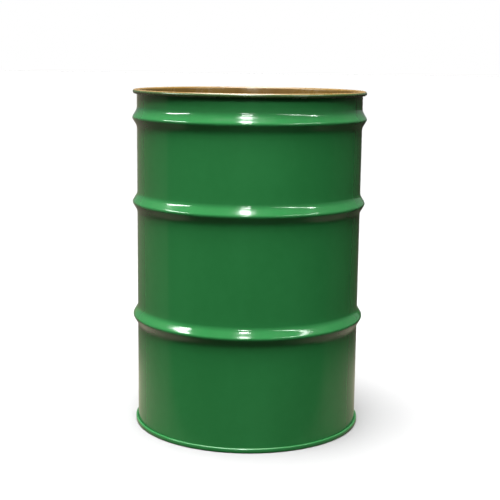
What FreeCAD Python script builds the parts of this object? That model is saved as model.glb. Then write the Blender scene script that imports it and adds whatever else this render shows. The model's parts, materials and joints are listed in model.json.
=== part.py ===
import FreeCAD, Part
import math
import os

import Sketcher
from FreeCAD import Vector

# Open-head steel drum: a rolled and seam-welded body, a pressed bottom head, and the sealing compound
# that fills the core of the seam where the two are rolled together.
# The origin is on the floor at the middle of the drum, and +Z runs up the drum's axis.

DIMENSIONS = {
    # whole drum
    "overall_height": 863.6,
    "inner_radius": 285.75,
    "body_thickness": 1.2,
    "head_thickness": 1.2,
    # curl round the open end, measured over its outside
    "curl_radius": 5.7,
    "curl_sweep": 315.0,
    # rolling hoops and the stiffening bead below the curl, measured on the outside of the sheet
    "hoop_radius": 298.45,
    "hoop_crown_radius": 8.5,
    "hoop_root_radius": 24.0,
    "hoop_flank_angle": 31.0,
    "top_bead_height": 792.9,
    "upper_hoop_height": 578.8,
    "lower_hoop_height": 285.0,
    # triple seam at the bottom chime: head and body sheets rolled up together
    "seam_gap": 0.05,
    "seam_bend_radius": 3.4,
    "seam_roll_height": 8.9,
    "seam_inner_bend_height": 4.35,
    "body_hook_end_height": 4.4,
    "head_hook_end_height": 6.6,
    # bottom head, with a raised ring that lets its panel flex
    "panel_height": 19.0,
    "panel_corner_radius": 6.0,
    "ring_radius": 226.0,
    "ring_rise": 4.5,
    "ring_crown_radius": 9.0,
    "ring_root_radius": 9.0,
    "ring_flank_angle": 32.0,
}

# Radii of the seam's layers, from the drum's inside outwards. Each is the face that the pen of
# SheetSection follows, so it is the outside of the roll for every layer.
HEAD_WALL = "Drum.inner_radius - Drum.seam_gap - Drum.head_thickness"
HEAD_HOOK = "Drum.inner_radius + Drum.body_thickness + Drum.seam_gap"
BODY_HOOK = f"{HEAD_HOOK} + Drum.head_thickness + Drum.seam_gap"
HEAD_CORE = f"{BODY_HOOK} + Drum.body_thickness + Drum.seam_gap + Drum.head_thickness"
BODY_RETURN = f"{HEAD_CORE} + Drum.seam_gap + Drum.body_thickness"
HEAD_RETURN = f"{BODY_RETURN} + Drum.seam_gap + Drum.head_thickness"

START, END, CENTRE = 1, 2, 3
VERTICAL_AXIS = -2
LEFT, RIGHT = 1, -1


def make_sheet(document):
    """The driving dimensions in millimetres and degrees, one named cell each."""
    sheet = document.addObject("Spreadsheet::Sheet", "Drum")
    for row, (alias, value) in enumerate(DIMENSIONS.items(), start=1):
        sheet.set(f"A{row}", alias.replace("_", " "))
        sheet.set(f"B{row}", str(value))
        sheet.setAlias(f"B{row}", alias)
    document.recompute()


def size(formula):
    """The value of a formula of the dimension sheet."""
    return float(FreeCAD.ActiveDocument.getObject("Drum").evalExpression(formula))


def origin_plane(body, role):
    """One of a body's own base planes."""
    return next(plane for plane in body.Origin.OriginFeatures if plane.Role == role)


def new_section(body, name):
    """An empty sketch in the upright plane through the drum's axis: its x is radius, its y is height."""
    sketch = body.newObject("Sketcher::SketchObject", name)
    sketch.AttachmentSupport = [(origin_plane(body, "XZ_Plane"), "")]
    sketch.MapMode = "FlatFace"
    return sketch


def spin(body, sketch, name):
    """Turns a section once round the drum's axis."""
    turned = body.newObject("PartDesign::Revolution", name)
    turned.Profile = sketch
    turned.ReferenceAxis = (sketch, ["V_Axis"])
    turned.Angle = 360.0
    body.Tip = turned


class Section:
    """A sketch of a part's section, whose dimensions are formulas of the dimension sheet."""

    def __init__(self, sketch):
        self.sketch = sketch

    def rule(self, *terms):
        """Adds one geometric constraint to the sketch."""
        return self.sketch.addConstraint(Sketcher.Constraint(*terms))

    def bind(self, name, formula, kind, *terms):
        """Adds one dimension to the sketch and ties it to a formula of the dimension sheet."""
        value = size(formula)
        if kind == "Angle":
            value = math.radians(value)
        index = self.rule(kind, *terms, value)
        self.sketch.renameConstraint(index, name)
        self.sketch.setExpression(f"Constraints.{name}", formula)


class SheetSection(Section):
    """Bent sheet in section, drawn by a pen that runs along one face of it.

    Each straight and each bend leaves the one before it without a kink. The other face lies one thickness
    to the pen's left, parallel to every straight and concentric with every bend.
    """

    def __init__(self, sketch, x, y, heading, thickness):
        super().__init__(sketch)
        self.place = Vector(x, y, 0)
        self.heading = math.radians(heading)
        self.thickness = thickness
        self.pen_face = []
        self.far_face = []

    def sideways(self, distance):
        """A step of this length to the pen's left."""
        return Vector(-math.sin(self.heading), math.cos(self.heading), 0) * distance

    def join(self, face, index, first, last):
        """Adds an edge to a face and makes it leave the edge before it without a kink."""
        if face:
            before, _, before_last = face[-1]
            self.rule("Tangent", before, before_last, index, first)
        face.append((index, first, last))

    def straight(self, length):
        """Draws a straight and returns its index in the sketch."""
        end = self.place + Vector(math.cos(self.heading), math.sin(self.heading), 0) * length
        offset = self.sideways(size(self.thickness))
        index = self.sketch.addGeometry(Part.LineSegment(self.place, end))
        self.join(self.pen_face, index, START, END)
        far = self.sketch.addGeometry(Part.LineSegment(self.place + offset, end + offset))
        self.join(self.far_face, far, START, END)
        self.rule("Parallel", far, index)
        self.place = end
        return index

    def bend(self, radius, degrees, turn):
        """Draws a bend of this radius on the pen's face and returns its index in the sketch."""
        centre = self.place + self.sideways(turn * radius)
        middle_angle = self.heading - turn * math.pi / 2
        sweep = turn * math.radians(degrees)
        angles = (middle_angle, middle_angle + sweep)
        first, last = (START, END) if turn == LEFT else (END, START)
        indices = []
        for face, face_radius in (
            (self.pen_face, radius),
            (self.far_face, radius - turn * size(self.thickness)),
        ):
            circle = Part.Circle(centre, Vector(0, 0, 1), face_radius)
            arc = Part.ArcOfCircle(circle, min(angles), max(angles))
            index = self.sketch.addGeometry(arc)
            self.join(face, index, first, last)
            indices.append(index)
        self.rule("Coincident", indices[1], CENTRE, indices[0], CENTRE)
        spoke = self.place - centre
        turned = FreeCAD.Rotation(Vector(0, 0, 1), math.degrees(sweep)).multVec(spoke)
        self.place = centre + turned
        self.heading += sweep
        return indices[0]

    def down_wall(self, name, end_height, radius_formula):
        """Draws a straight down to a height, held upright at a radius."""
        line = self.straight(self.place.y - end_height)
        self.rule("Vertical", line)
        self.bind(f"{name}_radius", radius_formula, "DistanceX", -1, START, line, START)
        return line

    def finish(self):
        """Squares off both ends of the strip and sets its thickness."""
        for end, (near, far) in enumerate(
            ((self.pen_face[0], self.far_face[0]), (self.pen_face[-1], self.far_face[-1]))
        ):
            near_point = (near[0], near[1 + end])
            far_point = (far[0], far[1 + end])
            near_place = self.sketch.getPoint(*near_point)
            far_place = self.sketch.getPoint(*far_point)
            edge = self.sketch.addGeometry(Part.LineSegment(near_place, far_place))
            self.rule("Perpendicular", edge, START, *near_point)
            self.rule("Coincident", edge, END, *far_point)
            if end == 0:
                self.bind("sheet_thickness", self.thickness, "Distance", edge)


def swell(section, name, rise, crown, root, angle):
    """Draws a rounded rib that stands out to the pen's left: root, flank, crown, flank, root.

    rise, crown and root are formulas on the far face of the sheet. Returns the crown's index.
    """
    thickness = section.thickness
    theta = math.radians(size(angle))
    rounding = (size(root) + size(crown)) * (1 - math.cos(theta))
    flank = (size(rise) - rounding) / math.sin(theta)
    pen_root = f"{root} + {thickness}"
    pen_crown = f"{crown} - {thickness}"
    for side in ("first", "second"):
        if side == "second":
            section.straight(flank)
        bend = section.bend(size(pen_root), math.degrees(theta), LEFT)
        section.bind(f"{name}_{side}_root", pen_root, "Radius", bend)
        section.bind(f"{name}_{side}_angle", angle, "Angle", bend)
        if side == "first":
            section.straight(flank)
            middle = section.bend(size(pen_crown), 2 * math.degrees(theta), RIGHT)
            section.bind(f"{name}_crown", pen_crown, "Radius", middle)
    return middle


def swell_half_length(rise, crown, root, angle):
    """From the middle of a rib to the end of its root, along the sheet."""
    theta = math.radians(size(angle))
    roots = size(root) + size(crown)
    flank = (size(rise) - roots * (1 - math.cos(theta))) / math.sin(theta)
    return roots * math.sin(theta) + flank * math.cos(theta)


def rolled_hook(section, name, bend_formula, floor_formula, return_formula, hook_formula):
    """Rolls the sheet out, up and back down over itself, as far as its hook's straight."""
    bend_radius = size(bend_formula)
    flat_length = size(return_formula) - section.place.x - 2 * bend_radius
    roll_height = size("Drum.seam_roll_height")
    outward = section.bend(bend_radius, 90, LEFT)
    section.bind(f"{name}_outward_bend", bend_formula, "Radius", outward)
    floor = section.straight(flat_length)
    section.rule("Horizontal", floor)
    section.bind(f"{name}_floor", floor_formula, "DistanceY", -1, START, floor, START)
    upward = section.bend(bend_radius, 90, LEFT)
    section.bind(f"{name}_upward_bend", bend_formula, "Radius", upward)
    rising = section.straight(roll_height - section.place.y)
    section.rule("Vertical", rising)
    section.bind(f"{name}_return", return_formula, "DistanceX", -1, START, rising, START)
    over = section.bend((size(return_formula) - size(hook_formula)) / 2, 180, LEFT)
    section.bind(f"{name}_roll", "Drum.seam_roll_height", "DistanceY", -1, START, over, CENTRE)


def make_body_shell(document):
    """Rolled body: curl, neck, top bead, two rolling hoops, and the hook in the bottom seam."""
    body = document.addObject("PartDesign::Body", "body_shell")
    sketch = new_section(body, "body_section")
    curl = size("Drum.curl_radius")
    sweep = size("Drum.curl_sweep")
    curl_x = size("Drum.inner_radius") + curl
    curl_y = size("Drum.overall_height") - curl
    edge_angle = 180 - sweep
    section = SheetSection(
        sketch,
        curl_x + curl * math.cos(math.radians(edge_angle)),
        curl_y + curl * math.sin(math.radians(edge_angle)),
        edge_angle + 90,
        "Drum.body_thickness",
    )

    rim = section.bend(curl, sweep, LEFT)
    section.bind("curl_radius", "Drum.curl_radius", "Radius", rim)
    section.bind("curl_sweep", "Drum.curl_sweep", "Angle", rim)
    section.bind(
        "curl_height", "Drum.overall_height - Drum.curl_radius", "DistanceY", -1, START, rim, CENTRE
    )

    rib = (
        "Drum.hoop_radius - Drum.inner_radius - Drum.body_thickness",
        "Drum.hoop_crown_radius",
        "Drum.hoop_root_radius",
        "Drum.hoop_flank_angle",
    )
    half_hoop = swell_half_length(*rib)
    crown_centre = "Drum.hoop_radius - Drum.hoop_crown_radius"
    for name in ("top_bead", "upper_hoop", "lower_hoop"):
        height = f"Drum.{name}_height"
        section.down_wall(f"above_{name}", size(height) + half_hoop, "Drum.inner_radius")
        crown = swell(section, name, *rib)
        section.bind(f"{name}_reach", crown_centre, "DistanceX", -1, START, crown, CENTRE)
        section.bind(f"{name}_height", height, "DistanceY", -1, START, crown, CENTRE)

    bend = "Drum.seam_bend_radius - Drum.head_thickness - Drum.seam_gap"
    floor = "Drum.head_thickness + Drum.seam_gap"
    section.down_wall("foot", size(floor) + size(bend), "Drum.inner_radius")
    rolled_hook(section, "hook", bend, floor, BODY_RETURN, BODY_HOOK)
    tip = "Drum.body_hook_end_height"
    hook = section.down_wall("hook_straight", size(tip), BODY_HOOK)
    section.bind("hook_end", tip, "DistanceY", -1, START, hook, END)
    section.finish()
    spin(body, sketch, "body_turned")
    return body


def make_bottom_head(document):
    """Pressed head: flat panel with a raised ring, a countersunk wall, and the hook of the bottom seam."""
    body = document.addObject("PartDesign::Body", "bottom_head")
    sketch = new_section(body, "head_section")
    panel = "Drum.panel_height"
    section = SheetSection(sketch, 0, size(panel), 0, "Drum.head_thickness")
    rib = ("Drum.ring_rise", "Drum.ring_crown_radius", "Drum.ring_root_radius", "Drum.ring_flank_angle")

    middle = section.straight(size("Drum.ring_radius") - swell_half_length(*rib))
    section.rule("Horizontal", middle)
    section.rule("PointOnObject", middle, START, VERTICAL_AXIS)
    section.bind("panel_height", panel, "DistanceY", -1, START, middle, START)
    ring = swell(section, "ring", *rib)
    section.bind("ring_radius", "Drum.ring_radius", "DistanceX", -1, START, ring, CENTRE)
    ring_centre = f"{panel} + Drum.head_thickness + Drum.ring_rise - Drum.ring_crown_radius"
    section.bind("ring_height", ring_centre, "DistanceY", -1, START, ring, CENTRE)

    corner = size("Drum.panel_corner_radius")
    margin = section.straight(size(HEAD_WALL) - corner - section.place.x)
    section.rule("Horizontal", margin)
    section.bind("margin_height", panel, "DistanceY", -1, START, margin, START)
    shoulder = section.bend(corner, 90, RIGHT)
    section.bind("corner_radius", "Drum.panel_corner_radius", "Radius", shoulder)

    bend = "Drum.seam_bend_radius"
    section.down_wall("wall", size(bend), HEAD_WALL)
    rolled_hook(section, "chime", bend, "0", HEAD_RETURN, HEAD_HOOK)
    inner_bend = "Drum.seam_inner_bend_height"
    section.down_wall("hook", size(inner_bend), HEAD_HOOK)
    under = section.bend((size(HEAD_CORE) - size(HEAD_HOOK)) / 2, 180, LEFT)
    section.bind("hook_turn", inner_bend, "DistanceY", -1, START, under, CENTRE)
    tip = "Drum.head_hook_end_height"
    core = section.straight(size(tip) - section.place.y)
    section.rule("Vertical", core)
    section.bind("core_radius", HEAD_CORE, "DistanceX", -1, START, core, START)
    section.bind("core_end", tip, "DistanceY", -1, START, core, END)
    section.finish()
    spin(body, sketch, "head_turned")
    return body


def make_seam_compound(document):
    """Ring of sealing compound that fills the void above the head's hook, at the core of the seam.

    The three facets of its top lie on half a hexagon inside the bend above it.
    """
    body = document.addObject("PartDesign::Body", "seam_compound")
    sketch = new_section(body, "compound_section")
    inner = f"{HEAD_CORE} - Drum.head_thickness"
    bottom = "Drum.head_hook_end_height + Drum.seam_gap"
    shoulder = "Drum.seam_roll_height"
    roof = f"{shoulder} + Drum.head_thickness / 2 * sin(60 deg)"
    corners = {
        "inner_foot": (inner, bottom),
        "outer_foot": (HEAD_CORE, bottom),
        "outer_shoulder": (HEAD_CORE, shoulder),
        "outer_roof": (f"{HEAD_CORE} - Drum.head_thickness / 4", roof),
        "inner_roof": (f"{inner} + Drum.head_thickness / 4", roof),
        "inner_shoulder": (inner, shoulder),
    }
    points = [Vector(size(radius), size(height), 0) for radius, height in corners.values()]
    ends = points[1:] + points[:1]
    sides = sketch.addGeometry([Part.LineSegment(*pair) for pair in zip(points, ends)])
    section = Section(sketch)
    for before, side, (name, (radius, height)) in zip(sides[-1:] + sides, sides, corners.items()):
        section.rule("Coincident", before, END, side, START)
        section.bind(f"{name}_radius", radius, "DistanceX", -1, START, side, START)
        section.bind(f"{name}_height", height, "DistanceY", -1, START, side, START)
    spin(body, sketch, "compound_turned")
    return body


def check(document, parts):
    """Stops with a plain message if any object failed or any sub-part is empty or invalid."""
    for item in document.Objects:
        if {"Invalid", "Error"} & set(item.State):
            raise RuntimeError(f"{item.Name} failed: {item.State}")
    for part in parts:
        if part.Shape.isNull() or not part.Shape.isValid() or len(part.Shape.Solids) != 1:
            raise RuntimeError(f"{part.Label} is not one valid solid")


def main():
    document = FreeCAD.newDocument("steel_drum")
    make_sheet(document)
    parts = [
        make_body_shell(document),
        make_bottom_head(document),
        make_seam_compound(document),
    ]
    document.recompute()
    check(document, parts)
    os.makedirs("parts", exist_ok=True)
    for part in parts:
        part.Shape.exportStep(f"parts/{part.Label}.step")
        box = part.Shape.optimalBoundingBox(True, False)
        print(
            f"{part.Label}: {part.Shape.Volume:.0f} mm3,"
            f" radius {box.XMax:.2f}, height {box.ZMin:.2f} to {box.ZMax:.2f}"
        )


main()
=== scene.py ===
# %% [markdown]
# # An open-head steel drum
# The drum is two pieces of steel sheet and a little sealing compound. A rolled body is welded along its
# back, swelled out into a bead and two rolling hoops, and curled over at the top. A pressed head closes
# the bottom, and the edges of the two sheets are rolled up together into the chime it stands on.
# The CAD model gives every size. Here each sheet is turned again as a finer mesh, in the same place,
# and then gets its enamel, its lining and its light.

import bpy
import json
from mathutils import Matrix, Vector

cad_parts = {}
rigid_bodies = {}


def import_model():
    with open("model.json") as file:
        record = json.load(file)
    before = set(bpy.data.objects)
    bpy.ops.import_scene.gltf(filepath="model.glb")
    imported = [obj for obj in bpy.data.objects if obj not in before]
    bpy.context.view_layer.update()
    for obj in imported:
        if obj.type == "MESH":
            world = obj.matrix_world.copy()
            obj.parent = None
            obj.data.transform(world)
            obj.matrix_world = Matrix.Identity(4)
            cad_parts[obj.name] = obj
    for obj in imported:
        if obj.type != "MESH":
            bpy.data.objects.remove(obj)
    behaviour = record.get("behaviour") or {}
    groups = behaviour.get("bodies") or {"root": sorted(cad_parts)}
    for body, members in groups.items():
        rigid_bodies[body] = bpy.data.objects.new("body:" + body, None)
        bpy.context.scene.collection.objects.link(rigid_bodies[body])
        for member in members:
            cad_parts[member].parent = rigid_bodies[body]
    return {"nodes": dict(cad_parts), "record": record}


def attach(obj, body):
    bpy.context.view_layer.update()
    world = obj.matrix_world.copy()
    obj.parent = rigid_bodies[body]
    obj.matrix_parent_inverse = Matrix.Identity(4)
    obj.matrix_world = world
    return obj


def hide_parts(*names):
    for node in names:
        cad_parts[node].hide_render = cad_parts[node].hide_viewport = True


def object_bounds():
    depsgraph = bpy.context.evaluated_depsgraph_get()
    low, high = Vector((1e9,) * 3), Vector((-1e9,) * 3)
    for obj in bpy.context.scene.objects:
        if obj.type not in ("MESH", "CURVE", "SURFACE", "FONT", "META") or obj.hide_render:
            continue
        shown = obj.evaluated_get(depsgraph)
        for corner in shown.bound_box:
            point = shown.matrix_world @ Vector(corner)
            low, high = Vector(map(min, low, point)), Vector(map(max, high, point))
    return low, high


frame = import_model()
cad_low, cad_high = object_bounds()
print("CAD box:", [round(v, 4) for v in (*cad_low, *cad_high)])

# %% Tools used below
import json
import math

import bpy
import numpy as np
from mathutils import Matrix, Vector

MM = 0.001

# %% [markdown]
# ## Reading the sizes off the frame
# A turned part is known once its section is known, so all that matters about a point of it is its radius
# from the drum's axis and its height. The CAD mesh has its corners exactly on the real surface. Its
# largest radius is the hoops' radius, and the heights where that radius is reached are the hoops' crests.

# %% Sizes of the drum
def radius_and_height(node):
    """Distance from the axis, and height, of every corner of a CAD node."""
    corners = np.array([corner.co for corner in frame["nodes"][node].data.vertices])
    return np.hypot(corners[:, 0], corners[:, 1]), corners[:, 2]


mounts = {mount["name"]: mount for mount in frame["record"]["mounts"]}
inner_radius = mounts["mouth"]["dims"]["r_mm"] * MM
curl_centre_height = mounts["rim_curl"]["pos_m"][2]
body_radii, body_heights = radius_and_height("body_shell")
head_radii, head_heights = radius_and_height("bottom_head")
hoop_radius = float(body_radii.max())
chime_radius = float(head_radii.max())
curl_radius = round(float(body_heights.max()) - curl_centre_height, 4)

crest_points = np.sort(body_heights[body_radii > hoop_radius - 0.02 * MM])
crest_groups = np.split(crest_points, np.where(np.diff(crest_points) > 50 * MM)[0] + 1)
lower_hoop, upper_hoop, top_bead = [float(group.mean()) for group in crest_groups]
print(f"inside radius {inner_radius:.5f}, hoops {hoop_radius:.5f}, chime {chime_radius:.5f}")
print(f"crests at {lower_hoop:.4f}, {upper_hoop:.4f} and {top_bead:.4f}, curl radius {curl_radius:.4f}")

# %% [markdown]
# ## A pen that bends sheet
# A sheet-metal worker thinks in straights and bends, so the section is drawn the same way. The pen runs
# along one face of the sheet, and the other face is always one thickness to its left. A curve object with
# a bevel could give the same strip, but not with both faces exact, and the folds of the bottom seam leave
# only a twentieth of a millimetre between the sheets.

# %% The sheet pen
SHEET = 1.2 * MM
LEFT, RIGHT = 1, -1
LONGEST_STEP = 13 * MM


class SheetPen:
    """Draws a bent sheet in section. x is the radius from the drum's axis and y is the height."""

    def __init__(self, x, y, heading):
        self.place = Vector((x, y))
        self.heading = math.radians(heading)
        self.near, self.far = [], []
        self.mark()

    def sideways(self, distance):
        return Vector((-math.sin(self.heading), math.cos(self.heading))) * distance

    def mark(self):
        """Notes down both faces of the sheet at the pen."""
        self.near.append(tuple(self.place))
        self.far.append(tuple(self.place + self.sideways(SHEET)))

    def straight(self, length):
        steps = max(1, math.ceil(length / LONGEST_STEP))
        step = Vector((math.cos(self.heading), math.sin(self.heading))) * (length / steps)
        for _ in range(steps):
            self.place = self.place + step
            self.mark()

    def bend(self, radius, degrees, turn, steps):
        centre = self.place + self.sideways(turn * radius)
        angle = turn * math.radians(degrees) / steps
        for _ in range(steps):
            self.place = centre + Matrix.Rotation(angle, 2) @ (self.place - centre)
            self.heading += angle
            self.mark()

    def down_to(self, height):
        self.straight(self.place.y - height)


# %% [markdown]
# ## Ribs
# The bead, the hoops and the ring pressed in the bottom are all the same kind of shape: a root, a short
# straight flank, a round crown, and the same again in reverse. Hoops are formed by swelling the body over
# a die, which is why their roots are so much larger than their crowns.

# %% Drawing a rib
def rib_straight(rise, crown, root, slope):
    """Length of the flank, and half the length of the whole rib along the sheet."""
    angle = math.radians(slope)
    flank = (rise - (root + crown) * (1 - math.cos(angle))) / math.sin(angle)
    return flank, (root + crown) * math.sin(angle) + flank * math.cos(angle)


def rib(pen, rise, crown, root, slope):
    """A rounded rib to the pen's left. Its radii are those of the sheet's far face."""
    flank, _ = rib_straight(rise, crown, root, slope)
    pen.bend(root + SHEET, slope, LEFT, 4)
    pen.straight(flank)
    pen.bend(crown - SHEET, 2 * slope, RIGHT, 10)
    pen.straight(flank)
    pen.bend(root + SHEET, slope, LEFT, 4)


# %% [markdown]
# ## The bottom seam
# The chime is a round triple seam: the edges of the head and the body are hooked together and rolled up,
# seven layers of steel in all. The head's sheet is the outermost one, so the ring that shows round the
# foot of the drum belongs to the head. From here on, each layer's radius is worked out from the inside
# of the drum outwards, with the small gap that the CAD keeps between neighbours.

# %% Layers of the seam
GAP = 0.05 * MM
SEAM_BEND = 3.4 * MM
ROLL_HEIGHT = 8.9 * MM
head_wall = inner_radius - GAP - SHEET
head_hook = inner_radius + SHEET + GAP
body_hook = head_hook + SHEET + GAP
head_core = body_hook + SHEET + GAP + SHEET
body_return = head_core + GAP + SHEET
head_return = body_return + GAP + SHEET
print(f"outside of the seam {head_return:.5f}, and the CAD's chime {chime_radius:.5f}")


def roll_up(pen, bend, outer, hook):
    """Turns the sheet outwards, up, and back down over itself."""
    pen.bend(bend, 90, LEFT, 5)
    pen.straight(outer - bend - pen.place.x)
    pen.bend(bend, 90, LEFT, 5)
    pen.straight(ROLL_HEIGHT - pen.place.y)
    pen.bend((outer - hook) / 2, 180, LEFT, 9)


# %% [markdown]
# ## Section of the body
# The curl comes first, from its cut edge round to the inside of the wall. Then the pen goes down the
# inside of the drum, so the pen's face is the lined one and the far face is the enamelled one. The curl
# rolls outwards, which turns the lined face out to view along the rim.

# %% Draw the body's section
CURL_SWEEP = 315
HOOP = (hoop_radius - inner_radius - SHEET, 8.5 * MM, 24 * MM, 31)
BODY_HOOK_END = 4.4 * MM
_, half_hoop = rib_straight(*HOOP)

edge_angle = 180 - CURL_SWEEP
body_pen = SheetPen(
    inner_radius + curl_radius + curl_radius * math.cos(math.radians(edge_angle)),
    curl_centre_height + curl_radius * math.sin(math.radians(edge_angle)),
    edge_angle + 90,
)
body_pen.bend(curl_radius, CURL_SWEEP, LEFT, 30)
for crest in (top_bead, upper_hoop, lower_hoop):
    body_pen.down_to(crest + half_hoop)
    rib(body_pen, *HOOP)
foot_bend = SEAM_BEND - SHEET - GAP
body_pen.down_to(SHEET + GAP + foot_bend)
roll_up(body_pen, foot_bend, body_return, body_hook)
body_pen.down_to(BODY_HOOK_END)
print("points on each face of the body:", len(body_pen.near))

# %% [markdown]
# ## Section of the bottom head
# The head starts at the drum's axis. Its flat panel has one raised ring, which lets it flex as the
# contents swell. At the edge it turns down beside the wall and into the seam, so it stands clear of the
# floor. Here the pen's face is the underside, and the far face is the lined one.

# %% Draw the head's section
PANEL_HEIGHT = 19 * MM
PANEL_CORNER = 6 * MM
RING_RADIUS = 226 * MM
RING = (4.5 * MM, 9 * MM, 9 * MM, 32)
HEAD_HOOK_BEND_HEIGHT = 4.35 * MM
HEAD_HOOK_END = 6.6 * MM
_, half_ring = rib_straight(*RING)

head_pen = SheetPen(0, PANEL_HEIGHT, 0)
head_pen.straight(RING_RADIUS - half_ring)
rib(head_pen, *RING)
head_pen.straight(head_wall - PANEL_CORNER - head_pen.place.x)
head_pen.bend(PANEL_CORNER, 90, RIGHT, 7)
head_pen.down_to(SEAM_BEND)
roll_up(head_pen, SEAM_BEND, head_return, head_hook)
head_pen.down_to(HEAD_HOOK_BEND_HEIGHT)
head_pen.bend((head_core - head_hook) / 2, 180, LEFT, 7)
head_pen.straight(HEAD_HOOK_END - head_pen.place.y)
print("points on each face of the head:", len(head_pen.near))

# %% [markdown]
# ## Turning a section into a mesh
# Blender's Screw modifier can turn a line round an axis. Here the rings are written out instead, for two
# reasons: the steps round the drum can be finer where the weld is, and each face of the mesh is known to
# be enamelled or lined, so it gets its material as it is made. Points on the axis are single vertices.

# %% Turn a section
WELD_ANGLE = math.pi / 2
STEPS_ROUND = 280
weld_steps = np.array([-4.6, -2.9, -2.1, -1.5, 0.0, 1.5, 2.1, 2.9, 4.6]) * MM / inner_radius
even_steps = np.arange(STEPS_ROUND) * 2 * math.pi / STEPS_ROUND
clear_of_weld = np.abs(even_steps - WELD_ANGLE) > 1.4 * weld_steps.max()
turn_angles = np.sort(np.concatenate([even_steps[clear_of_weld], WELD_ANGLE + weld_steps]))


def turn_sheet(name, pen, near_slot, far_slot):
    """Turns a pen's section into a closed mesh. Each face of the sheet has a material slot of its own."""
    section = pen.near + pen.far[::-1]
    slots = [near_slot] * (len(pen.near) - 1) + [far_slot] * len(pen.far) + [near_slot]
    corners, rings = [], []
    for radius, height in section:
        angles = turn_angles if radius > GAP else turn_angles[:1]
        rings.append(range(len(corners), len(corners) + len(angles)))
        corners += [(radius * math.cos(a), radius * math.sin(a), height) for a in angles]
    faces, face_slots = [], []
    count = len(turn_angles)
    for index, slot in enumerate(slots):
        ring, following = rings[index], rings[(index + 1) % len(rings)]
        if len(ring) == 1 and len(following) == 1:
            continue
        for step in range(count):
            after = (step + 1) % count
            if len(ring) == 1:
                face = (ring[0], following[step], following[after])
            elif len(following) == 1:
                face = (ring[step], following[0], ring[after])
            else:
                face = (ring[step], following[step], following[after], ring[after])
            faces.append(face)
            face_slots.append(slot)
    mesh = bpy.data.meshes.new(name)
    mesh.from_pydata(corners, [], faces)
    mesh.polygons.foreach_set("material_index", face_slots)
    mesh.validate()
    piece = bpy.data.objects.new(name, mesh)
    bpy.context.scene.collection.objects.link(piece)
    return piece


def signed_volume(mesh):
    """Volume inside a closed mesh, negative if its faces point inwards."""
    mesh.calc_loop_triangles()
    places = np.array([corner.co for corner in mesh.vertices])
    triangles = np.array([triangle.vertices[:] for triangle in mesh.loop_triangles])
    a, b, c = (places[triangles[:, side]] for side in range(3))
    return float(np.einsum("ij,ij->i", a, np.cross(b, c)).sum() / 6)


OUTSIDE, INSIDE = 0, 1
body = turn_sheet("drum_body", body_pen, INSIDE, OUTSIDE)
head = turn_sheet("drum_bottom_head", head_pen, OUTSIDE, INSIDE)
for piece in (body, head):
    if signed_volume(piece.data) < 0:
        piece.data.flip_normals()
    print(piece.name, len(piece.data.polygons), "faces,", round(signed_volume(piece.data) * 1e6, 1), "ml")

# %% [markdown]
# ## Sheet is never quite true
# A rolled sheet keeps a faint memory of the rolls, so reflections in a real drum wander a little. A few
# long waves, a fraction of a millimetre high, are added to the plain parts of the wall. They fade out at
# the hoops, the curl and the seam, because forming pulls the sheet tight there. Whole numbers of waves
# go round the drum, so they meet themselves.

# %% Waves in the wall
def ramp(value, low, high):
    """0 below low, 1 above high, and smooth in between."""
    t = np.clip((value - low) / (high - low), 0, 1)
    return t * t * (3 - 2 * t)


WAVE_HEIGHT = 0.16 * MM
random = np.random.default_rng(55)
corners = np.array([corner.co for corner in body.data.vertices])
radius = np.hypot(corners[:, 0], corners[:, 1])
angle = np.arctan2(corners[:, 1], corners[:, 0])
height = corners[:, 2]

plain_wall = ramp(height, 26 * MM, 70 * MM) * ramp(-height, -838 * MM, -818 * MM)
for crest in (top_bead, upper_hoop, lower_hoop):
    plain_wall *= ramp(np.abs(height - crest), half_hoop, half_hoop + 35 * MM)
waves = np.zeros(len(corners))
for around, along in ((2, 240), (3, 410), (5, 180), (7, 130), (11, 95)):
    phase_round, phase_up = random.uniform(0, 2 * math.pi, 2)
    up = np.cos(2 * math.pi * height / (along * MM) + phase_up)
    waves += np.cos(around * angle + phase_round) * up * 2 / (around + 2)
radius_shift = plain_wall * waves * WAVE_HEIGHT
print(f"the wall moves by up to {np.abs(radius_shift).max() / MM:.2f} mm")

# %% [markdown]
# ## The weld
# The body is a flat sheet rolled into a tube, and its two edges are lapped a little and mashed together
# by copper wheels. That leaves a narrow band at the back of the drum, a hair proud of the wall. The
# swelling dies press it flush again on the hoops.

# %% Raise the weld
WELD_HALF_WIDTH = 1.8 * MM
WELD_HEIGHT = 0.14 * MM
from_weld = np.abs((angle - WELD_ANGLE + math.pi) % (2 * math.pi) - math.pi) * inner_radius
in_band = 1 - ramp(from_weld, WELD_HALF_WIDTH - 0.3 * MM, WELD_HALF_WIDTH + 0.3 * MM)
below_curl = ramp(height, 30 * MM, 40 * MM) * ramp(-height, -856 * MM, -845 * MM)
off_crests = 1 - ramp(radius, hoop_radius - 4 * MM, hoop_radius - 1 * MM)
outer_face = (radius > inner_radius + 0.5 * SHEET).astype(float)
weld = in_band * below_curl
radius_shift += weld * off_crests * outer_face * WELD_HEIGHT

scale = 1 + radius_shift / radius
corners[:, :2] *= scale[:, None]
body.data.vertices.foreach_set("co", corners.astype(np.float32).ravel())
body.data.update()
print(f"the weld is {2 * WELD_HALF_WIDTH / MM:.1f} mm wide and {WELD_HEIGHT / MM:.2f} mm proud")

# %% [markdown]
# ## Where the finish changes
# Masks say where something happens on the surface. They are stored on the mesh as one number for each vertex,
# and a material reads them by name. One is where the enamel's spray reached the lined curl, and it also
# carries painted shade on the curl's outer and lower side. One is where things rub (hoops roll on the floor,
# and the chime is dragged), and one is the weld's band.

# %% Store the masks
def store_mask(piece, name, values):
    layer = piece.data.attributes.new(name, "FLOAT", "POINT")
    layer.data.foreach_set("value", np.asarray(values, np.float32))


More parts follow.
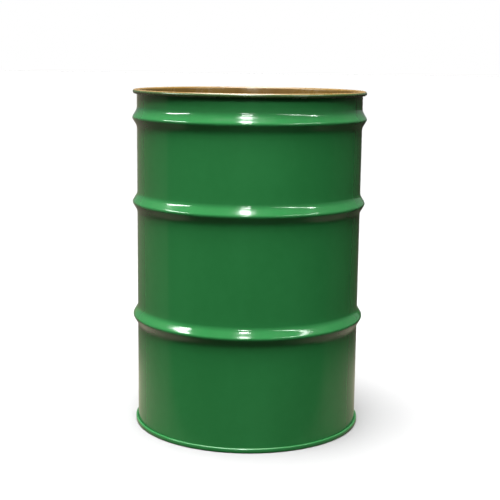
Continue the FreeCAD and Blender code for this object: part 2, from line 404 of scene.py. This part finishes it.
curl_axis = inner_radius + curl_radius
round_curl = np.degrees(np.arctan2(height - curl_centre_height, radius - curl_axis))
on_curl = (height > curl_centre_height - curl_radius) & (radius > inner_radius + 0.5 * MM)
# The curl's outer and lower side is olive, where the sprays meet, and the same mask also paints shade there.
overspray_and_shade = np.where(on_curl, 1 - ramp(round_curl, 8, 76), 0.0)
overspray_and_shade[round_curl < -150] = 0
hoop_rub = np.maximum.reduce(
    [1 - ramp(np.abs(height - crest), 1.5 * MM, 7 * MM) for crest in (top_bead, upper_hoop, lower_hoop)]
) * ramp(radius, hoop_radius - 4 * MM, hoop_radius)
curl_rub = ramp(height, cad_high.z - 2.2 * MM, cad_high.z)
store_mask(body, "overspray_and_shade", overspray_and_shade)
store_mask(body, "rubbed", np.maximum(hoop_rub, 0.8 * curl_rub))
store_mask(body, "weld_band", weld)

head_corners = np.array([corner.co for corner in head.data.vertices])
head_radius = np.hypot(head_corners[:, 0], head_corners[:, 1])
foot_rub = 1 - ramp(head_corners[:, 2], 0.3 * MM, 2.6 * MM)
side_rub = ramp(head_radius, chime_radius - 0.5 * MM, chime_radius) * 0.5
store_mask(head, "overspray_and_shade", np.zeros(len(head_corners)))
store_mask(head, "rubbed", np.maximum(foot_rub, side_rub))
store_mask(head, "weld_band", np.zeros(len(head_corners)))
print("masks stored on", body.name, "and", head.name)

# %% [markdown]
# ## Smooth and sharp
# Formed sheet has no facets, so every face is shaded smooth. Only the cut edges of the sheet turn a real
# corner, and those are found by their angle.

# %% Shade the sheets
for piece in (body, head):
    piece.data.polygons.foreach_set("use_smooth", [True] * len(piece.data.polygons))
    piece.data.set_sharp_from_angle(angle=math.radians(50))
    print(piece.name, "sharp edges:", sum(edge.use_edge_sharp for edge in piece.data.edges))

# %% [markdown]
# ## Helpers for materials
# A node group is a small tool: it has named inputs and outputs, it is built once, and each material uses
# it with its own values. These helpers make the nodes and the links, so that each group reads as a list
# of what it does.

# %% Node helpers
def new_group(name, inputs, outputs):
    """An empty shader node group. inputs and outputs are (name, kind, default) and (name, kind)."""
    tree = bpy.data.node_groups.new(name, "ShaderNodeTree")
    for label, kind, default in inputs:
        socket = tree.interface.new_socket(label, in_out="INPUT", socket_type=f"NodeSocket{kind}")
        socket.default_value = default
    for label, kind in outputs:
        tree.interface.new_socket(label, in_out="OUTPUT", socket_type=f"NodeSocket{kind}")
    return tree, tree.nodes.new("NodeGroupInput").outputs, tree.nodes.new("NodeGroupOutput").inputs


def feed(tree, socket, value):
    """Gives an input socket a value, or links another node's output to it."""
    if isinstance(value, bpy.types.NodeSocket):
        tree.links.new(value, socket)
    else:
        socket.default_value = value


def math_node(tree, operation, *values, clamp=False):
    node = tree.nodes.new("ShaderNodeMath")
    node.operation = operation
    node.use_clamp = clamp
    for socket, value in zip(node.inputs, values):
        feed(tree, socket, value)
    return node.outputs[0]


def noise(tree, where, scale, detail=2.0, roughness=0.5):
    node = tree.nodes.new("ShaderNodeTexNoise")
    feed(tree, node.inputs["Vector"], where)
    feed(tree, node.inputs["Scale"], scale)
    node.inputs["Detail"].default_value = detail
    node.inputs["Roughness"].default_value = roughness
    return node.outputs["Fac"]


def remap(tree, value, low, high, to_low=0.0, to_high=1.0):
    """Smoothly stretches the part of a value between low and high over a new span."""
    node = tree.nodes.new("ShaderNodeMapRange")
    node.interpolation_type = "SMOOTHSTEP"
    for socket, given in zip(node.inputs, (value, low, high, to_low, to_high)):
        feed(tree, socket, given)
    return node.outputs[0]


def mix_colour(tree, factor, first, second, blend="MIX"):
    node = tree.nodes.new("ShaderNodeMix")
    node.data_type = "RGBA"
    node.blend_type = blend
    for socket, given in zip((node.inputs[0], node.inputs[6], node.inputs[7]), (factor, first, second)):
        feed(tree, socket, given)
    return node.outputs[2]


def object_place(tree):
    return tree.nodes.new("ShaderNodeTexCoord").outputs["Object"]


def stretched(tree, where, scale):
    """The same place with each axis scaled, so that a texture is drawn out along one of them."""
    node = tree.nodes.new("ShaderNodeVectorMath")
    node.operation = "MULTIPLY"
    feed(tree, node.inputs[0], where)
    node.inputs[1].default_value = scale
    return node.outputs[0]


def mask(tree, name):
    """A mask that is stored on the mesh."""
    node = tree.nodes.new("ShaderNodeAttribute")
    node.attribute_name = name
    return node.outputs["Fac"]


# %% [markdown]
# ## Sprayed coat
# Both finishes are sprayed on and baked. A sprayed coat is never one flat colour: it is a little thicker
# and thinner in soft patches, it dries with a fine skin like orange peel, and a few grains of dust are
# caught in it. The group gives the colour, the roughness and the height of that skin.

# %% Group: sprayed coat
coat_tree, coat_in, coat_out = new_group(
    "sprayed_coat",
    [
        ("Colour", "Color", (0.5, 0.5, 0.5, 1)),
        ("Thin Colour", "Color", (0.4, 0.4, 0.4, 1)),
        ("Patchiness", "Float", 0.5),
        ("Peel Scale", "Float", 300.0),
        ("Smoothest", "Float", 0.1),
        ("Roughest", "Float", 0.2),
    ],
    [("Colour", "Color"), ("Roughness", "Float"), ("Height", "Float")],
)
place = object_place(coat_tree)
passes = noise(coat_tree, stretched(coat_tree, place, (7, 7, 2.2)), 1.0, 3.0)
mottle = noise(coat_tree, place, 42.0, 4.0, 0.6)
thin = math_node(
    coat_tree,
    "MULTIPLY",
    remap(coat_tree, math_node(coat_tree, "MULTIPLY_ADD", mottle, 0.45, passes), 0.5, 0.95),
    coat_in["Patchiness"],
    clamp=True,
)
feed(coat_tree, coat_out["Colour"], mix_colour(coat_tree, thin, coat_in["Colour"], coat_in["Thin Colour"]))
haze = remap(coat_tree, noise(coat_tree, place, 16.0, 5.0, 0.65), 0.3, 0.72)
spread = math_node(coat_tree, "SUBTRACT", coat_in["Roughest"], coat_in["Smoothest"])
feed(
    coat_tree,
    coat_out["Roughness"],
    math_node(coat_tree, "MULTIPLY_ADD", haze, spread, coat_in["Smoothest"]),
)
peel = noise(coat_tree, place, coat_in["Peel Scale"], 1.5, 0.4)
grains = remap(coat_tree, noise(coat_tree, place, 620.0, 0.0), 0.78, 0.86)
feed(coat_tree, coat_out["Height"], math_node(coat_tree, "MULTIPLY_ADD", grains, 0.8, peel))
print("sprayed_coat:", len(coat_tree.nodes), "nodes")

# %% [markdown]
# ## Rubbed edges
# Where the drum is rolled or dragged, the coat gets fine scuffs that run the way it moved, which is round
# the drum. The group breaks a mask up into short flecks, so the wear is never an even stripe.

# %% Group: scuffs
scuff_tree, scuff_in, scuff_out = new_group(
    "scuffs",
    [("Where", "Float", 0.0), ("Amount", "Float", 0.5), ("Fleck Scale", "Float", 90.0)],
    [("Mask", "Float")],
)
place = object_place(scuff_tree)
flecks = noise(scuff_tree, stretched(scuff_tree, place, (1, 1, 7)), scuff_in["Fleck Scale"], 5.0, 0.7)
bouts = noise(scuff_tree, place, 5.0, 2.0)
worn = math_node(scuff_tree, "MULTIPLY_ADD", bouts, 0.55, flecks)
threshold = math_node(scuff_tree, "MULTIPLY_ADD", scuff_in["Amount"], -0.5, 1.18)
broken = remap(scuff_tree, worn, threshold, math_node(scuff_tree, "ADD", threshold, 0.07))
feed(scuff_tree, scuff_out["Mask"], math_node(scuff_tree, "MULTIPLY", broken, scuff_in["Where"], clamp=True))
print("scuffs:", len(scuff_tree.nodes), "nodes")

# %% [markdown]
# ## Settled dust
# A little dust lies wherever a surface faces up: on top of the hoops, and on the bottom inside.

# %% Group: settled dust
dust_tree, dust_in, dust_out = new_group(
    "settled_dust",
    [
        ("Colour", "Color", (0.5, 0.5, 0.5, 1)),
        ("Dust Colour", "Color", (0.5, 0.45, 0.38, 1)),
        ("Amount", "Float", 0.1),
    ],
    [("Colour", "Color"), ("Mask", "Float")],
)
facing = dust_tree.nodes.new("ShaderNodeSeparateXYZ")
feed(dust_tree, facing.inputs[0], dust_tree.nodes.new("ShaderNodeNewGeometry").outputs["Normal"])
upward = remap(dust_tree, facing.outputs["Z"], 0.25, 0.95)
drift = remap(dust_tree, noise(dust_tree, object_place(dust_tree), 26.0, 6.0, 0.7), 0.35, 0.75)
lying = math_node(dust_tree, "MULTIPLY", math_node(dust_tree, "MULTIPLY", upward, drift), dust_in["Amount"])
feed(dust_tree, dust_out["Colour"], mix_colour(dust_tree, lying, dust_in["Colour"], dust_in["Dust Colour"]))
feed(dust_tree, dust_out["Mask"], lying)
print("settled_dust:", len(dust_tree.nodes), "nodes")

# %% [markdown]
# ## Putting a material together
# Each finish is a Principled shader that the groups feed. What is the same all over, such as how strongly
# the coat reflects, is set on the shader itself, so that it survives when the model is exported.

# %% Material helpers
def group_node(tree, group, **values):
    """Places a node group. Spaces in its input names are written as underscores here."""
    node = tree.nodes.new("ShaderNodeGroup")
    node.node_tree = group
    for label, value in values.items():
        feed(tree, node.inputs[label.replace("_", " ")], value)
    return node.outputs


def new_finish(name, specular):
    material = bpy.data.materials.new(name)
    material.use_nodes = True
    shader = material.node_tree.nodes["Principled BSDF"]
    shader.inputs["Specular IOR Level"].default_value = specular
    return material, material.node_tree, shader.inputs


def surface_relief(tree, height, depth):
    """A bump whose height is in real metres."""
    node = tree.nodes.new("ShaderNodeBump")
    node.inputs["Strength"].default_value = 1.0
    node.inputs["Distance"].default_value = depth
    feed(tree, node.inputs["Height"], height)
    return node.outputs["Normal"]


ENAMEL_GREEN = (0.0130, 0.1060, 0.0270, 1)
ENAMEL_THIN = (0.0160, 0.1190, 0.0320, 1)
LINING_TAN = (0.125, 0.073, 0.0165, 1)
LINING_THIN = (0.095, 0.050, 0.0100, 1)
# Darker than both coats: olive where the sprays meet, plus painted shade on the curl's underside.
OLIVE_OVERSPRAY_AND_SHADE = (0.026, 0.052, 0.014, 1)
SCUFF_PALE = (0.10, 0.27, 0.12, 1)
BARE_STEEL = (0.42, 0.40, 0.36, 1)
DUST = (0.42, 0.38, 0.31, 1)

# %% [markdown]
# ## The green enamel
# Gloss alkyd enamel, baked hard. Its skin is a few hundredths of a millimetre high and ripples about
# every two millimetres, enough to soften the ends of a lamp's reflection without blurring its edges. The
# weld telegraphs through as a row of faint ripples, one for each pulse of the welder.

# %% Material: green enamel
enamel, tree, shader = new_finish("green_enamel", specular=0.3)
coat = group_node(
    tree,
    coat_tree,
    Colour=ENAMEL_GREEN,
    Thin_Colour=ENAMEL_THIN,
    Patchiness=0.8,
    Peel_Scale=260.0,
    Smoothest=0.09,
    Roughest=0.16,
)
scuffed = group_node(tree, scuff_tree, Where=mask(tree, "rubbed"), Amount=0.35, Fleck_Scale=110.0)["Mask"]
painted = mix_colour(tree, math_node(tree, "MULTIPLY", scuffed, 0.5), coat["Colour"], SCUFF_PALE)
dusted = group_node(tree, dust_tree, Colour=painted, Dust_Colour=DUST, Amount=0.05)
feed(tree, shader["Base Color"], dusted["Colour"])
dulled = math_node(tree, "MULTIPLY_ADD", scuffed, 0.25, coat["Roughness"])
feed(tree, shader["Roughness"], math_node(tree, "MULTIPLY_ADD", dusted["Mask"], 1.2, dulled, clamp=True))
pulses = noise(tree, stretched(tree, object_place(tree), (60, 60, 420)), 1.0, 1.0)
weld_ripple = math_node(tree, "MULTIPLY", pulses, math_node(tree, "MULTIPLY", mask(tree, "weld_band"), 6.0))
skin = math_node(tree, "ADD", coat["Height"], weld_ripple)
feed(tree, shader["Normal"], surface_relief(tree, skin, 0.010 * MM))

# %% [markdown]
# ## The tan lining
# Baked phenolic lining, sprayed inside after the enamel. It is warmer and duller than the enamel and shows
# its mottle more. On the outside of the curl the two sprays meet in a soft, speckled edge, and the lid has
# rubbed the very top of the rim. The olive there is darker than either coat. It is partly overspray and
# partly painted shade on the curl's outer and lower side.

# %% Material: tan lining
lining, tree, shader = new_finish("tan_lining", specular=0.35)
coat = group_node(
    tree,
    coat_tree,
    Colour=LINING_TAN,
    Thin_Colour=LINING_THIN,
    Patchiness=0.75,
    Peel_Scale=180.0,
    Smoothest=0.2,
    Roughest=0.34,
)
speckle = noise(tree, object_place(tree), 900.0, 2.0, 0.6)
# Where the sprays meet, the olive is darker than either coat, which paints shade on the curl's outer and
# lower side.
met = math_node(tree, "MULTIPLY_ADD", math_node(tree, "SUBTRACT", speckle, 0.5), 0.6, mask(tree, "overspray_and_shade"))
sprayed = remap(tree, met, 0.25, 0.75)
two_tone_and_shade = mix_colour(tree, sprayed, coat["Colour"], OLIVE_OVERSPRAY_AND_SHADE)
scuffed = group_node(tree, scuff_tree, Where=mask(tree, "rubbed"), Amount=0.4, Fleck_Scale=140.0)["Mask"]
worn = mix_colour(tree, math_node(tree, "MULTIPLY", scuffed, 0.2), two_tone_and_shade, BARE_STEEL)
dusted = group_node(tree, dust_tree, Colour=worn, Dust_Colour=DUST, Amount=0.08)
feed(tree, shader["Base Color"], dusted["Colour"])
feed(
    tree,
    shader["Roughness"],
    math_node(tree, "MULTIPLY_ADD", dusted["Mask"], 0.8, coat["Roughness"], clamp=True),
)
pulses = noise(tree, stretched(tree, object_place(tree), (60, 60, 420)), 1.0, 1.0)
weld_ripple = math_node(tree, "MULTIPLY", pulses, math_node(tree, "MULTIPLY", mask(tree, "weld_band"), 5.0))
feed(
    tree,
    shader["Normal"],
    surface_relief(tree, math_node(tree, "ADD", coat["Height"], weld_ripple), 0.018 * MM),
)

# %% [markdown]
# ## The sealing compound
# A dark rubbery compound is rolled into the seam while soft. The CAD ring has the right shape already, so
# it stays, and only gets a material: matt, slightly lumpy, and a little paler where it was squeezed.

# %% Material: sealing compound
compound, tree, shader = new_finish("sealing_compound", specular=0.3)
coat = group_node(
    tree,
    coat_tree,
    Colour=(0.045, 0.042, 0.038, 1),
    Thin_Colour=(0.09, 0.085, 0.075, 1),
    Patchiness=0.9,
    Peel_Scale=700.0,
    Smoothest=0.55,
    Roughest=0.8,
)
feed(tree, shader["Base Color"], coat["Colour"])
feed(tree, shader["Roughness"], coat["Roughness"])
feed(tree, shader["Normal"], surface_relief(tree, coat["Height"], 0.05 * MM))
print("materials:", [material.name for material in (enamel, lining, compound)])

# %% [markdown]
# ## Onto the frame
# Each mesh gets its two finishes, rides on the drum's one body and stands for its CAD solid. The record
# has one material slot for each piece.

# %% Dress the pieces and tie them to the frame
for piece, node, slot in (
    (body, "body_shell", "green_enamel"),
    (head, "bottom_head", "tan_lining"),
):
    piece.data.materials.append(enamel)
    piece.data.materials.append(lining)
    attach(piece, "root")
    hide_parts(node)
compound_ring = frame["nodes"]["seam_compound"]
for index in range(len(compound_ring.material_slots)):
    compound_ring.material_slots[index].material = compound

# %% [markdown]
# ## Camera
# The camera stands a little under three metres away, just above the rim, with a long lens. From there the
# hoops stay nearly straight and only a sliver of the inside shows. Its place and its turns are written as
# one matrix, because three small angles in the right order say exactly how it was held.

# %% Camera
FILM_WIDTH = 36
FOCAL_LENGTH = 79.21
CAMERA_DISTANCE, CAMERA_HEIGHT = 2.8297, 0.9465
TILT_DOWN, SWING, ROLL = (math.radians(a) for a in (9.965, 0.098, 0.665))

camera_data = bpy.data.cameras.new("camera")
camera_data.sensor_width = FILM_WIDTH
camera_data.lens = FOCAL_LENGTH
camera = bpy.data.objects.new("camera", camera_data)
bpy.context.scene.collection.objects.link(camera)
camera.matrix_world = (
    Matrix.Translation((0.0, -CAMERA_DISTANCE, CAMERA_HEIGHT))
    @ Matrix.Rotation(-SWING, 4, "Z")
    @ Matrix.Rotation(math.pi / 2 - TILT_DOWN, 4, "X")
    @ Matrix.Rotation(ROLL, 4, "Z")
)
bpy.context.scene.camera = camera
print("camera at", tuple(round(v, 3) for v in camera.matrix_world.translation))

# %% [markdown]
# ## The floor
# To the camera the floor is plain and pale. A floor that pale would wash out the gloss paint that mirrors it,
# so a Light Path node gives every ray but the camera's a darker, warmer tone. That tone is lightest close to
# the drum on both sides, and darkest in front. This paints reflections into the gloss paint: light patches
# low on the drum's sides and a dark front. The same tone also sets how much light the floor bounces up into
# the drum.

# %% Floor
FLOOR_SIZE = 120
SEEN_PALENESS = 0.2
WARM_FLOOR = (1.0, 0.88, 0.68, 1)

bpy.ops.mesh.primitive_plane_add(size=FLOOR_SIZE, location=(0, 0, 0))
floor = bpy.context.object
floor.name = "floor"
floor_paint = bpy.data.materials.new("floor_paint")
floor_paint.use_nodes = True
tree = floor_paint.node_tree
floor_shader = tree.nodes["Principled BSDF"].inputs
floor_shader["Roughness"].default_value = 0.9
floor_shader["Specular IOR Level"].default_value = 0.0

across = tree.nodes.new("ShaderNodeSeparateXYZ")
feed(tree, across.inputs[0], object_place(tree))
reach = tree.nodes.new("ShaderNodeVectorMath")
reach.operation = "LENGTH"
feed(tree, reach.inputs[0], object_place(tree))
# The unseen tone is a painted reflection. It is lighter beside the drum, so the drum's lower sides mirror
# light patches, and darker in front, so the drum's front mirrors dark.
far_floor = remap(tree, across.outputs["X"], -3.0, 2.0, 0.066, 0.012)
near_floor = remap(tree, reach.outputs["Value"], 0.35, 1.3, 0.09, 0.0)
behind = remap(tree, across.outputs["Y"], 0.25, 0.7, 1.0, 0.3)
near_floor = math_node(tree, "MULTIPLY", near_floor, behind)
in_front = remap(tree, across.outputs["Y"], -0.34, -0.18, 0.16, 1.0)
mirrored_and_bounced_tone = math_node(tree, "MULTIPLY", math_node(tree, "ADD", far_floor, near_floor), in_front)

warm = mix_colour(tree, mirrored_and_bounced_tone, (0, 0, 0, 1), WARM_FLOOR)
pale = (SEEN_PALENESS, SEEN_PALENESS, SEEN_PALENESS, 1)
seen = tree.nodes.new("ShaderNodeLightPath").outputs["Is Camera Ray"]
feed(tree, floor_shader["Base Color"], mix_colour(tree, seen, warm, pale))
floor.data.materials.append(floor_paint)
print("floor_paint:", len(tree.nodes), "nodes")

# %% [markdown]
# ## The sky
# A round sheet of metal is shaped by its shading, and most of that comes from overhead: the top of each
# hoop is nearly three times as bright as the wall, and the wall under it is in shade. The dome is bright
# only within about 30 degrees of straight up. A hoop's steepest part mirrors lower than that, so the dome
# lights the paint and doesn't lie over it as a pale haze.

# %% Sky
BRIGHTEST = Vector((-0.09, -0.04, 1.0)).normalized()
DOME_EDGE = 0.86
SKY_OVERHEAD, SKY_LOW, BACKDROP = 37.0, 0.3, 1.0

world = bpy.data.worlds.new("studio")
bpy.context.scene.world = world
world.use_nodes = True
sky = world.node_tree
background = sky.nodes["Background"]
background.inputs["Color"].default_value = (1, 1, 1, 1)
towards = sky.nodes.new("ShaderNodeVectorMath")
towards.operation = "DOT_PRODUCT"
feed(sky, towards.inputs[0], sky.nodes.new("ShaderNodeTexCoord").outputs["Generated"])
towards.inputs[1].default_value = BRIGHTEST
dome = remap(sky, towards.outputs["Value"], DOME_EDGE, 1.0, SKY_LOW, SKY_OVERHEAD)
seen = sky.nodes.new("ShaderNodeLightPath").outputs["Is Camera Ray"]
strength = sky.nodes.new("ShaderNodeMix")
sockets = (strength.inputs[0], strength.inputs[2], strength.inputs[3])
for socket, given in zip(sockets, (seen, dome, BACKDROP)):
    feed(sky, socket, given)
feed(sky, background.inputs["Strength"], strength.outputs[0])
print("the dome is bright within", round(math.degrees(math.acos(DOME_EDGE))), "degrees of its middle")

# %% [markdown]
# ## Lamps
# Gloss paint is judged by what it mirrors. Each hoop shows a small bright image of a lamp twice, once in
# its hollow root and once on its crown. Soft fills light the paint and aren't mirrored. The small lamps
# are there only to be mirrored, so they don't light the paint: three stacked in front, one long one to
# the left, and a row of short ones to the right that rises as it goes back.

# %% Lamps
LOOK_AT = Vector((0, 0, 0.5))


def lamp(name, azimuth, elevation, distance, size, brightness, lights_paint=False, mirrored=True):
    """A lamp that faces the drum. Azimuth 0 is the camera's side, and brightness is its radiance."""
    data = bpy.data.lights.new(name, "AREA")
    data.shape = "RECTANGLE"
    data.size, data.size_y = size
    data.energy = brightness * size[0] * size[1] * math.pi
    light = bpy.data.objects.new(name, data)
    bpy.context.scene.collection.objects.link(light)
    a, e = math.radians(azimuth), math.radians(elevation)
    direction = Vector((math.sin(a) * math.cos(e), -math.cos(a) * math.cos(e), math.sin(e)))
    light.location = LOOK_AT + direction * distance
    light.rotation_euler = direction.to_track_quat("Z", "Y").to_euler()
    light.visible_camera = False
    light.visible_diffuse = lights_paint
    light.visible_glossy = mirrored
    return light


lamp("key", -50, 72, 3.6, (1.6, 1.6), 5, lights_paint=True)
lamp("fill", 2, 50, 3.4, (1.5, 1.0), 25, lights_paint=True, mirrored=False)
lamp("back_fill", 170, 46, 3.4, (1.5, 1.0), 13, lights_paint=True, mirrored=False)
lamp("front_low", -3, 19, 3.4, (0.48, 0.14), 170)
lamp("front_middle", -3, 37, 3.4, (0.5, 0.12), 220)
lamp("front_high", -4, 52, 3.2, (0.42, 0.42), 70)
lamp("front_halo", -3, 52, 3.2, (0.8, 0.4), 12)
lamp("left", -77, 29.5, 3.2, (1.45, 0.26), 70)
for step, brightness in enumerate((24, 45, 120, 45, 45, 140)):
    lamp(f"right_{step}", 30 + 8 * step, 23 + 2.2 * step, 3.4, (0.46, 0.11), brightness)
bpy.context.scene.view_settings.view_transform = "Standard"
